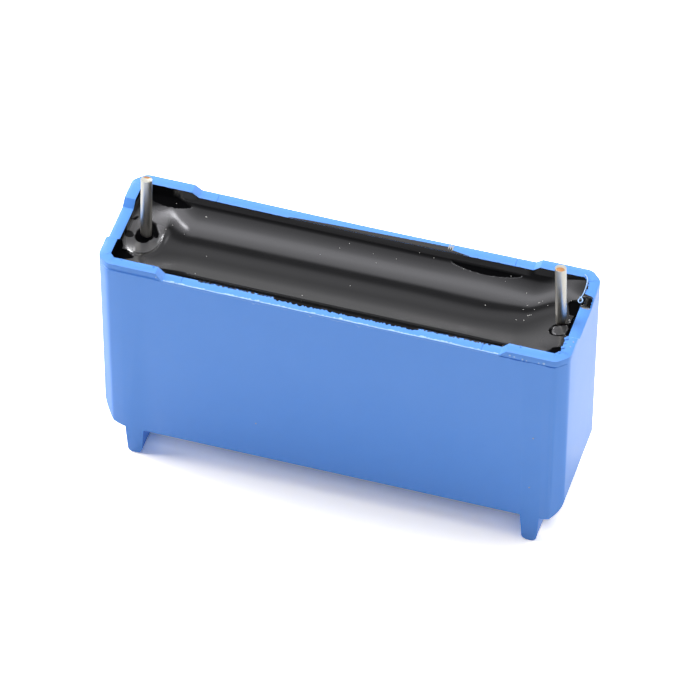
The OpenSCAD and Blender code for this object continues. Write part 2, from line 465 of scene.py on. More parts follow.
def fade(at, start, length):
    """0 before a start and 1 from a length further on, which is to the other side if it is negative."""
    return ease((at - start) / length)


def turned(x, y, middle, turn):
    cosine, sine = math.cos(math.radians(turn)), math.sin(math.radians(turn))
    x, y = x - middle[0], y - middle[1]
    return cosine * x + sine * y, cosine * y - sine * x


def hill(x, y, middle, reach_x, reach_y):
    """1 on a hilltop, fading to 0 round it."""
    return np.exp(-((x - middle[0]) / reach_x) ** 2 - ((y - middle[1]) / reach_y) ** 2)


def oval(x, y, middle, reach_x, reach_y, turn):
    """1 inside an oval and 0 outside it."""
    x, y = turned(x, y, middle, turn)
    return ease((1 - np.hypot(x / reach_x, y / reach_y)) / OVAL_SOFT + 0.5)


def patch(x, y, corners):
    """1 inside a polygon, whose corners are named clockwise, and 0 outside it."""
    inside = np.ones_like(x)
    for (from_x, from_y), (to_x, to_y) in zip(corners, corners[1:] + corners[:1]):
        along_x, along_y = to_x - from_x, to_y - from_y
        gap = (along_y * (x - from_x) - along_x * (y - from_y)) / math.hypot(along_x, along_y)
        inside = np.minimum(inside, ease(gap / PATCH_SOFT + 0.5))
    return inside


def points_of(piece):
    flat = np.empty(3 * len(piece.data.vertices))
    piece.data.vertices.foreach_get("co", flat)
    return flat.reshape(-1, 3)


print("ease at a quarter:", ease(0.25))

# %% [markdown]
# ## Resin: voids and their painted shade
# Gas leaves holes where the resin meets the wires and the walls. They are shallow pits, and their black is
# painted shade: a matt black bottom. Each gets a shape here: a polygon, an oval, one long lens at the back
# wall and a moat before the dome. The same shapes sink the surface and, further on, paint the shade as a
# matt finish.

# %% Resin: voids
LEFT_BASE = Vector((-18.34, 0.0))
DOME, DOME_X, DOME_Y = (19.08, -1.12), 0.8, 0.68
VOID_PATCHES = {
    "behind the left wire": (
        (-18.3, 1.6), (-17.75, 1.42), (-17.18, 0.5), (-17.2, 0.0), (-17.5, -0.05), (-18.1, 0.75),
    ),
    "left wall": (
        (-19.96, 1.2), (-19.6, 1.68), (-19.2, 1.66), (-19.2, 1.25), (-19.62, 1.2), (-19.8, 0.8),
    ),
    "front left, end wall": (
        (-20.4, -3.6), (-20.2, -1.9), (-19.95, -1.5), (-19.62, -2.2), (-19.4, -3.9),
    ),
    "front left, long wall": (
        (-20.3, -4.3), (-20.2, -2.6), (-19.1, -2.62), (-18.3, -3.15), (-18.35, -3.5), (-19.2, -4.0),
    ),
    "back left": (
        (-19.4, 5.3), (-17.6, 4.9), (-16.2, 4.4), (-15.4, 4.0), (-15.6, 3.85),
        (-16.65, 3.55), (-17.65, 3.45), (-18.7, 3.62), (-19.3, 4.1),
    ),
    "front right": (
        (17.9, -3.95), (19.0, -3.5), (19.62, -2.4), (20.2, -2.2), (20.2, -4.8), (18.4, -4.8),
    ),
    "right wall": ((18.8, 2.3), (19.1, 2.6), (19.95, 2.7), (19.95, 0.9), (19.3, 0.95)),
}
VOID_OVALS = {
    "before the left wire": (1, (-18.46, -0.42), 0.66, 0.6, -6),
    "round the left wire": (1, LEFT_BASE, 0.78, 0.78, 0),
    "shallow bubble": (0.85, (-19.66, -0.5), 0.46, 0.38, 8),
    "right wall, behind": (1, (19.86, 0.3), 0.2, 1.25, -6),
    "right wall, in front": (1, (19.85, -1.3), 0.16, 0.5, -6),
    "before the right wire": (1, (18.95, -0.52), 0.72, 0.22, 10),
}
LENS_X, LENS_L, LENS_Y, LENS_SAG, LENS_ROUND, LENS_TIPS = 7.7, 6.6, 4.3, 0.62, 0.65, 25
MOAT_FACES, MOAT_SPREAD, MOAT_FADE = -125, 110, 50
MOAT_AT, MOAT_HALF, MOAT_SOFT = 1.08, 0.16, 0.12


# %% Resin: how far a place lies in a void
def dome_reach(x, y):
    return np.hypot((x - DOME[0]) / DOME_X, (y - DOME[1]) / DOME_Y)


def lens(x, y):
    share = np.clip((x - LENS_X) / LENS_L, 0, 1)
    sag = LENS_Y - LENS_SAG * np.sin(np.pi * share) ** LENS_ROUND
    inside = ease((y - sag) / PATCH_SOFT + 0.5) * ease((LENS_Y - y) / PATCH_SOFT + 0.5)
    return inside * ease(LENS_TIPS * share) * ease(LENS_TIPS - LENS_TIPS * share)


def moat(x, y):
    bearing = np.degrees(np.arctan2(y - DOME[1], x - DOME[0]))
    off = np.abs((bearing - MOAT_FACES + 180) % 360 - 180)
    in_moat = ease((MOAT_HALF - np.abs(dome_reach(x, y) - MOAT_AT)) / MOAT_SOFT + 0.5)
    return ease((MOAT_SPREAD - off) / MOAT_FADE) * in_moat


def voids_and_shade(x, y):
    """How far a place lies in a void, from 0 to 1. This sinks the surface and sets the painted shade."""
    found = [lens(x, y), moat(x, y)]
    found += [patch(x, y, corners) for corners in VOID_PATCHES.values()]
    found += [depth * oval(x, y, *form) for depth, *form in VOID_OVALS.values()]
    return np.maximum.reduce(found)


print("voids:", len(VOID_PATCHES) + len(VOID_OVALS) + 2)

# %% [markdown]
# ## Resin: the surface
# The trough is a parabola across the case. It gets shallower towards both ends, and swings to the back at
# the right one. The skin climbs the walls a little. A bowl surrounds the left wire, and a tilted dome stands
# before the right one. Where the resin cured last, its skin is dull, and a second formula says how dull: it
# is rougher there, and its grey is a painted sheen.

# %% Resin: the surface
TROUGH_DEPTH, TROUGH_HALF = 1.0, 4.55
TROUGH_LEFT, TROUGH_RIGHT = (-14.2, -5.0), (15.4, 4.6)
SHALLOW_LEFT, SHALLOW_RIGHT, LIFT_RIGHT = 0.75, 0.62, 0.2
SWING, SWING_Y, SWAY, SWAY_Y = (11.3, 5.4), 0.75, (6.0, 4.0), 0.15
CLIMB, CLIMB_REACH, CLIMB_MOST, CLIMB_ENDS = 0.12, 0.55, 1.4, (17.5, -2)
FRONT_CLIMB, FRONT_REACH, FRONT_MOST = 0.1, 0.95, 1.2
WIRE_R, VOID_DEPTH = 0.5, 0.12


def trough(x, y):
    left, right = fade(x, *TROUGH_LEFT), fade(x, *TROUGH_RIGHT)
    axis = SWING_Y * fade(x, *SWING) - SWAY_Y * fade(x, *SWAY)
    depth = TROUGH_DEPTH * (1 - SHALLOW_LEFT * left - SHALLOW_RIGHT * right)
    side = np.where(y > axis, TROUGH_HALF - axis, TROUGH_HALF + axis)
    return LIFT_RIGHT * right - depth * (1 - ((y - axis) / side) ** 2)


def skin(x, y):
    climb = np.clip(1 - (TROUGH_HALF - np.abs(y)) / CLIMB_REACH, 0, CLIMB_MOST) ** 2 * fade(x, *CLIMB_ENDS)
    front_climb = np.clip(1 - (TROUGH_HALF + y) / FRONT_REACH, 0, FRONT_MOST) ** 2
    return CLIMB * climb + FRONT_CLIMB * front_climb


# %% Resin: the bowl, and the dull places with a painted sheen
BOWL_X, BOWL_Y, BOWL_FRONT, BOWL_BACK = 1.72, 2.2, -0.7, (3.4, -4.2)
BOWL_DEPTH, BOWL_SOFT = 0.36, 0.1
BRIM_H, BRIM_AT, BRIM_HALF, BRIM_LEFT, BRIM_BACK = 0.09, 0.98, 0.16, (-0.3, 1.2), (1.5, -1.5)
WICK_H, WICK_REACH = 0.42, 0.16
DULL_BOWL, DULL_DOME, DULL_WIRES, DULL_WALL = 0.8, 0.42, 0.45, 0.24


def bowl_reach(x, y):
    return np.hypot((x - LEFT_BASE.x) / BOWL_X, np.minimum(y - BOWL_FRONT, 0) / BOWL_Y)


def bowl(x, y):
    reach = bowl_reach(x, y)
    hollow = BOWL_SOFT * np.logaddexp(0, (1 - reach ** 2) / BOWL_SOFT) * fade(y, *BOWL_BACK)
    off_wire = np.clip(np.hypot(x - LEFT_BASE.x, y) - WIRE_R, 0, None)
    brim = np.exp(-((reach - BRIM_AT) / BRIM_HALF) ** 2)
    brim *= fade(x - LEFT_BASE.x, *BRIM_LEFT) * fade(y, *BRIM_BACK)
    return WICK_H * np.exp(-off_wire / WICK_REACH) - BOWL_DEPTH * hollow + BRIM_H * brim


def dull(x, y):
    """How dull the skin is, from 0 to 1. It makes the skin rougher and gives it a painted grey sheen."""
    in_bowl = fade(bowl_reach(x, y), 1.0, -0.25) * fade(y, 3.6, -3.0)
    on_dome = fade(dome_reach(x, y), 1.1, -0.15)
    before_wires = np.maximum(hill(x, y, (18.8, -2.6), 1.6, 1.2), hill(x, y, (-18.0, -3.7), 1.2, 0.9))
    on_wall = fade(y, LENS_Y, 0.1) * fade(x, 15.0, -0.6)
    return np.maximum.reduce((
        DULL_BOWL * in_bowl, DULL_DOME * on_dome, DULL_WIRES * before_wires, DULL_WALL * on_wall,
    ))


# %% Resin: raise and lower the grid
DOME_H, DOME_TILT, DOME_EDGE = 0.05, 0.2, (1.05, -0.2)
CORNER_H, SWELL_H = 0.5, 0.24


def surface_height(x, y):
    dome = fade(dome_reach(x, y), *DOME_EDGE) * (DOME_H + DOME_TILT * (y - DOME[1]))
    corner = CORNER_H * hill(x, y, (20.0, 5.2), 2.0, 2.0)
    swell = SWELL_H * hill(x, y, (19.7, -1.5), 1.9, 2.2)
    pits = VOID_DEPTH * ease(2 * voids_and_shade(x, y) - 1)
    return trough(x, y) + skin(x, y) + bowl(x, y) + dome + corner + swell - pits


points = points_of(resin)
points[:, 2] += surface_height(points[:, 0] / MM, points[:, 1] / MM) * MM
resin.data.vertices.foreach_set("co", points.ravel())
resin.data.update()
print(finished_size(resin))

# %% [markdown]
# ## Resin: the hem
# Wet resin has crept up the walls and, in places, over the rim. The three outer rows of the grid make that
# hem. A ray finds the wall beside each edge vertex. The first row goes up the wall, the next onto the rim's
# edge, and the last as far over the rim as the resin has run, with a ragged end.

# %% Resin: where the hem laps over the rim
END_RIM_X = 19.5
BACK_LAP, BACK_LAP_W, BACK_TAIL, BACK_TAIL_W = (-7.0, 7.7), 0.62, 9.4, 0.3
FLAKE, FLAKE_W = (7.3, 7.6), 0.2
FRONT_LAP, FRONT_LAP_W, FRONT_RAGGED = (-5.2, 7.3), 0.14, 0.24
FRINGE, FRINGE_W = (-12, 14), 0.16
SPILL, SPILL_W, CREEP_W = (1.75, 2.8), 0.9, 0.2
SLIP, SLIP_GRAIN = 0.03, 0.004


def between(at, span):
    return span[0] < at < span[1]


def rim_height(x, y):
    rise = min((abs(x) - rim_x) / RAMP, (abs(y) - rim_y) / RAMP)
    rim = RIM_Z + BACK_RISE if y > LONG_RIM_Y else RIM_Z
    return rim + (TOP_Z - rim) * min(max(rise, 0), 1)


def lap_width(x, y):
    """How far the resin laps over the rim at a place on the edge of the cavity, in mm."""
    ragged = chance.random()
    if y > LONG_RIM_Y and between(x, BACK_LAP):
        share = (x - BACK_LAP[0]) / (BACK_LAP[1] - BACK_LAP[0])
        return BACK_LAP_W * share ** 0.55 * (0.94 + 0.06 * ragged)
    if y > LONG_RIM_Y and BACK_LAP[1] <= x < BACK_TAIL:
        return BACK_TAIL_W * (BACK_TAIL - x) / (BACK_TAIL - BACK_LAP[1])
    if y < -LONG_RIM_Y and between(x, FLAKE):
        return FLAKE_W
    if y < -LONG_RIM_Y and between(x, FRONT_LAP):
        return FRONT_LAP_W + FRONT_RAGGED * ragged
    if y < -LONG_RIM_Y and between(x, FRINGE):
        return FRINGE_W * ragged
    if x > END_RIM_X and between(y, SPILL):
        return SPILL_W * min(1, (y - 1.7) / 0.12, (2.85 - y) / 0.2) * (0.85 + 0.15 * ragged)
    if x > END_RIM_X and y >= SPILL[1]:
        return CREEP_W * ragged
    return 0.0


def slip_at(x, y):
    """How far below the rim the hem ends where it doesn't lap over it, in mm."""
    wave = math.sin(5 * x + 3 * y) * math.sin(1.7 * x)
    return SLIP * (1 + wave) + SLIP_GRAIN * chance.random()


print("rim height in the middle of the front and back, mm:", rim_height(0, -5), rim_height(0, 5))

# %% Resin: find the rows of the hem
FILM = 0.008
HEM_IN, HEM_OUT, HEM_LOW = 0.02, 0.03, 0.03
LAP_LEAST, LIP_WIDE, LIP_HIGH, LIP_LOW = 0.02, 0.1, 0.03, 0.012
LOOK_BELOW, CORNER_BELOW, CORNER_ROOM = 0.15, 0.05, 0.14


def outward_at(x, y):
    if abs(x) + abs(y) > 2 * inner_reach - LAP:
        return Vector((math.copysign(1, x), math.copysign(1, y), 0)).normalized()
    if abs(x) > cavity_l - LAP:
        return Vector((math.copysign(1, x), 0, 0))
    return Vector((0, math.copysign(1, y), 0))


def next_inward(vertex, outward, barred):
    nearby = [edge.other_vert(vertex) for edge in vertex.link_edges]
    nearby = [other for other in nearby if not other.is_boundary and other not in barred]
    return min(nearby, key=lambda other: (other.co - vertex.co).normalized().dot(outward), default=None)


def wall_beside(at, outward, rim):
    return surface_at(case, (*(at.xy / MM - outward.xy), rim - LOOK_BELOW), outward) * MM


# %% Resin: move the rows of the hem
bpy.context.view_layer.update()
open_piece(resin)
hem, corners = [], []
for vertex in bmesh.from_edit_mesh(resin.data).verts:
    if vertex.is_boundary:
        outward = outward_at(*place(vertex).xy)
        second = next_inward(vertex, outward, ())
        third = second and next_inward(second, outward, (vertex,))
        if third:
            hem.append((vertex, second, third, outward, vertex.co.copy()))
        else:
            corners.append((vertex, outward))
for vertex, second, third, outward, edge in hem:
    x, y, _ = edge / MM
    width, rim = lap_width(x, y), rim_height(x, y)
    laps = width > LAP_LEAST
    wall = wall_beside(edge, outward, rim)
    wall.z = rim * MM
    slip = 0.0 if laps else slip_at(x, y)
    lift = LIP_HIGH if width > LIP_WIDE else LIP_LOW
    third.co = wall - outward * HEM_IN * MM - Vector((0, 0, (HEM_LOW + slip) * MM))
    second.co = wall + outward * HEM_OUT * MM + Vector((0, 0, (lift - slip) * MM))
    vertex.co = second.co + outward * max(width, LAP_LEAST) * MM
    if laps:
        vertex.co.z = (rim_height(*place(vertex).xy) + FILM) * MM
    else:
        vertex.co.z -= HEM_LOW * MM
for vertex, outward in corners:
    rim = rim_height(*place(vertex).xy)
    wall = wall_beside(vertex.co, outward, rim) / MM
    vertex.co = (Vector((*wall.xy, rim - CORNER_BELOW)) + HEM_OUT * outward) * MM
held = {vertex for row in hem for vertex in row[:3]} | {vertex for vertex, _ in corners}
for vertex in bmesh.from_edit_mesh(resin.data).verts:
    over = sum(abs(c) for c in place(vertex).xy) - (2 * inner_reach - CORNER_ROOM)
    if over > 0 and vertex not in held:
        vertex.co -= Vector([math.copysign(over / 2, c) for c in vertex.co.xy] + [0]) * MM
bmesh.update_edit_mesh(resin.data)
leave_edit_mode()
print("hem vertices:", len(hem), "at the corners:", len(corners))
print(finished_size(resin))

# %% [markdown]
# ## Resin: a closed body
# A surface alone has no inside. The hem's edge is extruded down to the floor of the case and filled, and all
# faces are turned outwards. The voids and the dull places are kept as attributes, which a material reads for
# the painted shade in the voids and the painted sheen on the dull places.

# %% Resin: a closed body
HEM_DROP, BOTTOM_X, BOTTOM_Y = 5, 0.95, 0.9

open_piece(resin)
pick("EDGE", lambda e: len(e.link_faces) == 1)
bpy.ops.mesh.extrude_edges_move(TRANSFORM_OT_translate={"value": (0, 0, -HEM_DROP * MM)})
bpy.ops.transform.resize(value=(BOTTOM_X, BOTTOM_Y, 0), center_override=(0, 0, floor_z * MM))
bpy.ops.mesh.edge_face_add()
pick_all()
bpy.ops.mesh.normals_make_consistent(inside=False)
leave_edit_mode()
bpy.ops.object.shade_smooth_by_angle(angle=math.radians(50))
points = points_of(resin) / MM
for name, form in (("void_share", voids_and_shade), ("dull_share", dull)):
    kept = resin.data.attributes.new(name, "FLOAT", "POINT")
    kept.data.foreach_set("value", form(points[:, 0], points[:, 1]).astype(np.float32))
print(finished_size(resin))

# %% [markdown]
# ## Leads
# Each lead is a tinned copper wire, cropped with cutters, so its tip shows the copper. A curve with a round
# section could make it, but the slanted cut and the flattened tail are easier on a mesh. It starts as a short
# cylinder. Its top is drawn up in steps that lean inwards, and its bottom is flattened into the welded tail.

# %% Leads
RIGHT_BASE = Vector((18.87, 0.0))
TIP_Z = 28.2
COLLAR_Z, COLLAR_H = 20.6, 0.3
LEAN_STEPS = ((0, 21.4), (0.2, 22.6), (0.5, 24.6), (1, TIP_Z))
TIN_EDGE, COPPER_EDGE, COPPER_SINK, COPPER_NARROW = 0.06, 0.03, 0.05, 0.9
NECK_H, TAIL_H, TAIL_THIN, TAIL_WIDE = 0.4, 8.6, 0.6, 1.3


def make_lead(name, tail_x, base_x, tip_x, slant, drag, squash):
    select_only()
    bpy.ops.mesh.primitive_cylinder_add(
        vertices=40, radius=WIRE_R * MM, depth=COLLAR_H * MM, location=(tail_x * MM, 0, COLLAR_Z * MM)
    )
    lead = bpy.context.object
    lead.name = lead.data.name = name
    bpy.ops.object.transform_apply()
    open_piece(lead)
    pick("FACE", lambda f: f.normal.z > 0.9)
    x, z = tail_x, COLLAR_Z + COLLAR_H / 2
    for share, next_z in LEAN_STEPS:
        next_x = base_x * (1 - share) + tip_x * share
        draw_out((next_x - x, 0, next_z - z))
        x, z = next_x, next_z
    slant = math.radians(slant)
    cut((tip_x * MM, -WIRE_R * MM, TIP_Z * MM), (0, math.sin(slant), math.cos(slant)), keep_all=False)
    pick("FACE", lambda f: f.normal.z > 0.8)
    bpy.ops.mesh.inset(thickness=TIN_EDGE * MM)
    bpy.ops.mesh.inset(thickness=COPPER_EDGE * MM)
    bpy.ops.transform.translate(value=(0, drag * MM, -COPPER_SINK * MM))
    bpy.ops.transform.resize(
        value=(COPPER_NARROW, squash, 1), center_override=(tip_x * MM, drag * MM, TIP_Z * MM)
    )
    pick("FACE", lambda f: f.normal.z < -0.9)
    draw_out((0, 0, -NECK_H))
    bpy.ops.transform.resize(value=(TAIL_THIN, TAIL_WIDE, 1), center_override=(tail_x * MM, 0, COLLAR_Z * MM))
    draw_out((0, 0, -TAIL_H))
    leave_edit_mode()
    bpy.ops.object.shade_smooth_by_angle(angle=math.radians(40))
    print(finished_size(lead))
    return lead


lead_left = make_lead("lead_wire_left", -18.5, LEFT_BASE.x + 0.08, -18.11, 12, 0.25, 0.45)
lead_right = make_lead("lead_wire_right", 19.0, RIGHT_BASE.x, 18.65, 6, -0.1, 0.75)

# %% [markdown]
# ## Flash
# A worn mould lets a thin skin of plastic out along the outer edge of the front rim. It starts as a narrow
# grid strip of three rows: one hangs down in front of that edge, one stands on it as a ragged crest, and one
# lies on the rim. A few whiskers hang lower. Solidify gives the strip its thickness.

# %% Flash on the front rim
FLASH_HALF, FLASH_T, FLASH_CELLS = 14.9, 0.02, 300
BEFORE_ALL = -9
FLASH_ROWS = {
    -1: ((-0.003, 0), (-0.1, -0.17)),
    0: ((0.03, 0), (0.01, 0.1)),
    1: ((0.1, 0.24), (0.003, 0)),
}
WHISKERS, WHISKER_HALF, WHISKER_L = (-6.8, -1.7, 2.6), 0.16, 0.3

select_only()
bpy.ops.mesh.primitive_grid_add(x_subdivisions=FLASH_CELLS, y_subdivisions=2, size=2)
flash = bpy.context.object
flash.name = flash.data.name = "rim_flash"
open_piece(flash)
for vertex in bmesh.from_edit_mesh(flash.data).verts:
    x, row = vertex.co.x * FLASH_HALF, round(vertex.co.y)
    edge_y = surface_at(case, (x, BEFORE_ALL, RIM_Z - LOOK_BELOW), (0, 1, 0)).y
    ragged = chance.random() * (0.6 + 0.4 * math.sin(1.7 * x) * math.sin(0.9 * x + 1))
    off_y, off_z = (start + more * ragged for start, more in FLASH_ROWS[row])
    if row == -1:
        off_z -= WHISKER_L * max(0, 1 - min(abs(x - at) for at in WHISKERS) / WHISKER_HALF)
    vertex.co = Vector((x, edge_y + off_y, RIM_Z + off_z)) * MM
bmesh.update_edit_mesh(flash.data)
leave_edit_mode()
bpy.ops.object.modifier_add(type="SOLIDIFY")
flash.modifiers[0].thickness = FLASH_T * MM
bpy.ops.object.modifier_apply(modifier=flash.modifiers[0].name)
print(finished_size(flash))

# %% [markdown]
# ## A stray thread
# A thread of the same plastic hangs at the right end and curls into a loop. It starts as a curve: its points
# are listed, a round section follows them, and it becomes a mesh.

# %% Thread
THREAD = (
    (19.5, 5.0, 22.86), (19.8, 4.8, 22.88), (19.96, 4.3, 22.86), (20.02, 3.4, 22.86), (20.0, 2.8, 22.84),
    (19.95, 2.4, 22.78), (19.8, 2.2, 22.76), (19.72, 1.9, 22.75), (19.92, 1.66, 22.75), (20.18, 1.8, 22.76),
    (20.16, 2.15, 22.78), (19.92, 2.36, 22.8), (19.78, 2.3, 22.8),
)
THREAD_R = 0.048

select_only()
bpy.ops.curve.primitive_nurbs_path_add()
thread = bpy.context.object
thread.name = thread.data.name = "stray_thread"
path = thread.data.splines[0]
path.points.add(len(THREAD) - len(path.points))
for point, at in zip(path.points, THREAD):
    point.co = (*(Vector(at) * MM), 1)
thread.data.bevel_depth = THREAD_R * MM
thread.data.bevel_resolution = 2
thread.data.use_fill_caps = True
bpy.ops.object.convert(target="MESH")
bpy.ops.object.shade_smooth()
print(finished_size(thread))

# %% [markdown]
# ## Dust, painted glints, burrs and splashes
# Specks lie on the resin, and a pale scuff crosses the back rim. Some specks are painted glints: a row along
# the front edge of the spill on the right rim, and two by the right wall. Burrs stand on the cavity's edge,
# teeth of flash in the groove, and a few splashes stick to the front. All are small flattened balls. Each is
# set down where a ray meets the surface, and those of a kind are joined.

# %% Where the specks lie
# The specks at x 19.49 and 19.6 are painted glints of a clear flake. The rest are dust.
DUST_AND_GLINTS = (
    (9.09, 3.75, 0.05), (11.92, 0.71, 0.06), (14.97, 2.86, 0.06), (16.29, 2.15, 0.1), (16.53, 2.36, 0.05),
    (17.1, 1.95, 0.05), (15.38, 1.7, 0.05), (16.08, 1.4, 0.05), (15.16, 1.17, 0.05), (15.74, 0.6, 0.07),
    (15.87, 0.68, 0.08), (16.0, 0.74, 0.06), (14.92, -0.16, 0.06), (15.56, -0.03, 0.06), (19.01, 2.55, 0.05),
    (13.23, 4.1, 0.05), (12.9, 3.46, 0.04), (19.49, 0.24, 0.09), (19.6, -0.03, 0.09), (-13.89, 3.43, 0.09),
    (-12.61, -0.62, 0.05), (-16.83, 1.14, 0.05), (-16.81, 4.07, 0.05), (-12.73, -3.45, 0.05),
    (-16.43, 1.77, 0.05), (-15.21, 1.27, 0.04), (-1.13, 3.82, 0.06), (-1.83, 3.23, 0.05), (3.21, 3.36, 0.05),
    (1.65, 2.58, 0.05), (5.0, 4.3, 0.05), (6.33, 4.14, 0.05), (-3.22, -3.21, 0.06), (0.22, -0.4, 0.04),
    (-3.29, 2.25, 0.04), (1.15, 3.38, 0.04),
)
SCUFF = tuple((7.34 + 0.17 * i, 4.9 + 0.1 * j, 0.08) for i in range(3) for j in range(7))
# This row of pale specks is a painted glint along the spill's front lip.
SPILL_GLINT = tuple((20.2 + 0.1 * i, 1.72, 0.07) for i in range(7))
RIM_SPECKS = ((20.74, -2.99, 0.08), (20.66, -3.63, 0.07))
BURRS = (
    (20.07, -2.8, 0.22), (20.1, -3.3, 0.12), (20.06, -3.9, 0.2), (19.92, -4.55, 0.15), (-18.9, -4.82, 0.14),
    (-16.0, -4.83, 0.13), (16.6, -4.83, 0.14),
)
TEETH = (
    (15.94, 22.42, 0.11), (16.33, 22.36, 0.1), (17.05, 22.26, 0.12), (17.4, 22.2, 0.08), (18.48, 22.26, 0.1),
    (18.93, 22.32, 0.13), (-15.5, 22.42, 0.1),
)
SPLASHES = ((18.16, 12.86, 0.08), (17.91, 6.64, 0.07), (-6.70, 7.06, 0.08))
print("specks:", sum(map(len, (DUST_AND_GLINTS, SCUFF, SPILL_GLINT, RIM_SPECKS, BURRS, TEETH, SPLASHES))))

# %% Set the specks down
FLAT_ON_TOP, FLAT_ON_FRONT = 0.3, 0.04
SPREAD = (0.8, 1.2)
ABOVE_ALL = 40


def scatter(name, *groups):
    """Set specks down on the top of a piece, at x and y, or on its front, at x and z."""
    specks = []
    for ground, side, places in groups:
        for x, other, size in places:
            on_top = side == "top"
            start, towards = (x, BEFORE_ALL, other), (0, 1, 0)
            if on_top:
                start, towards = (x, other, ABOVE_ALL), (0, 0, -1)
            at = surface_at(ground, start, towards)
            select_only()
            bpy.ops.mesh.primitive_ico_sphere_add(subdivisions=1, radius=size * MM, location=at * MM)
            speck = bpy.context.object
            wide, tall = chance.uniform(*SPREAD), chance.uniform(*SPREAD)
            speck.scale = (wide, tall, FLAT_ON_TOP) if on_top else (wide, FLAT_ON_FRONT, tall)
            bpy.ops.object.transform_apply()
            specks.append(speck)
    select_only(*specks)
    bpy.ops.object.join()
    joined = bpy.context.object
    joined.name = joined.data.name = name
    bpy.ops.object.shade_smooth()
    print(finished_size(joined))
    return joined


bpy.context.view_layer.update()
dust_and_glints = scatter("dust_and_glint_specks", (resin, "top", DUST_AND_GLINTS), (case, "top", SCUFF + SPILL_GLINT + RIM_SPECKS))
burrs = scatter("rim_burrs", (case, "top", BURRS))
teeth = scatter("groove_flash", (case, "front", TEETH))
splashes = scatter("resin_splashes", (case, "front", SPLASHES))

# %% [markdown]
# ## Shader sums
# Finishes vary over a surface, so they need a little arithmetic. The class wraps a node's output, so that
# sums of such values read as plain Python, and one method makes every other node.

# %% Shader sums
class Value:
    """A number, colour or vector that changes over a surface."""

    def __init__(self, socket):
        self.socket = socket

    @staticmethod
    def node(tree, kind, settings=None, inputs=None, output=0):
        made = tree.nodes.new(kind)
        for name, value in (settings or {}).items():
            if name == "stops":
                while len(made.color_ramp.elements) < len(value):
                    made.color_ramp.elements.new(0.5)
                for stop, (position, colour) in zip(made.color_ramp.elements, value):
                    stop.position, stop.color = position, (*colour, 1.0)
            else:
                setattr(made, name, value)
        for name, value in (inputs or {}).items():
            if isinstance(value, Value):
                tree.links.new(value.socket, made.inputs[name])
            else:
                made.inputs[name].default_value = value
        return Value(made.outputs[output])

    def maths(self, operation, other=0.0, swapped=False):
        first, second = (other, self) if swapped else (self, other)
        settings, inputs = {"operation": operation}, {0: first, 1: second}
        return Value.node(self.socket.id_data, "ShaderNodeMath", settings, inputs)

    def __add__(self, other):
        return self.maths("ADD", other)

    def __radd__(self, other):
        return self.maths("ADD", other, swapped=True)

    def __sub__(self, other):
        return self.maths("SUBTRACT", other)

    def __rsub__(self, other):
        return self.maths("SUBTRACT", other, swapped=True)

    def __mul__(self, other):
        return self.maths("MULTIPLY", other)

    def __rmul__(self, other):
        return self.maths("MULTIPLY", other, swapped=True)


# %% Helpers for finishes
def new_finish(name, roughness=0.5, metallic=0.0):
    material = bpy.data.materials.new(name)
    material.use_nodes = True
    tree = material.node_tree
    shader = tree.nodes["Principled BSDF"]
    shader.inputs["Roughness"].default_value = roughness
    shader.inputs["Metallic"].default_value = metallic
    where = Value.node(tree, "ShaderNodeTexCoord", output="Object")
    print("finish:", name)
    return material, tree, shader, where


def plug(tree, value, socket):
    tree.links.new(value.socket, socket)


def noise(tree, where, scale, detail=3.0, stretch=None):
    if stretch:
        where = Value.node(tree, "ShaderNodeMapping", inputs={"Vector": where, "Scale": stretch})
    inputs = {"Vector": where, "Scale": scale, "Detail": detail, "Roughness": 0.5}
    return Value.node(tree, "ShaderNodeTexNoise", inputs=inputs)


def blend_colours(tree, share, first, second):
    settings, inputs = {"data_type": "RGBA"}, {"Factor": share, 6: first, 7: second}
    return Value.node(tree, "ShaderNodeMix", settings, inputs, output=2)


def two_tone(tree, shader, share, first, second):
    plug(tree, blend_colours(tree, share, first, second), shader.inputs["Base Color"])


# %% [markdown]
# ## Finish: plastic
# Moulded plastic has one even colour, a fine grain and a soft sheen. Coarse noise varies its colour and sheen
# a little. Fine noise gives the grain as a bump, which is too small to be modelled.

# %% Finish: moulded blue plastic
BLUE, BLUE_DEEP = (0.108, 0.333, 0.91, 1), (0.1, 0.32, 0.89, 1)

moulded_blue, tree, shader, where = new_finish("moulded_blue")
cloud = noise(tree, where, 180.0)
grain = noise(tree, where, 9000.0, detail=2.0)
two_tone(tree, shader, cloud, BLUE, BLUE_DEEP)
plug(tree, 0.27 + 0.06 * cloud, shader.inputs["Roughness"])
bump = Value.node(tree, "ShaderNodeBump", inputs={"Strength": 0.12, "Distance": 0.00002, "Height": grain})
plug(tree, bump, shader.inputs["Normal"])

# %% [markdown]
# ## Finish: resin
# Casting resin is almost a mirror, and black all through. Two attributes that the surface carries change it:
# dull places are rougher, and greyer with a painted sheen. In the voids a matt black, which is painted shade,
# takes the place of the shine.

# %% Finish: black resin with a painted sheen, and painted shade in the voids
RESIN_CLEAR, RESIN_HAZY = (0.0035, 0.0035, 0.004, 1), (0.005, 0.005, 0.0055, 1)
RESIN_PAINTED_SHEEN, RESIN_SHINE = (0.085, 0.084, 0.088, 1), (0.95, 0.945, 1.0, 1)

black_resin, tree, shader, where = new_finish("black_resin")
haze = noise(tree, where, 300.0)
# Dull places are rougher, and their grey is a painted sheen.
dull_share = Value.node(tree, "ShaderNodeAttribute", {"attribute_name": "dull_share"}, output="Fac")
clear = blend_colours(tree, haze, RESIN_CLEAR, RESIN_HAZY)
two_tone(tree, shader, dull_share, clear, RESIN_PAINTED_SHEEN)
plug(tree, 0.07 + 0.07 * haze + 0.25 * dull_share, shader.inputs["Roughness"])
shader.inputs["IOR"].default_value = 1.54
shader.inputs["Specular Tint"].default_value = RESIN_SHINE
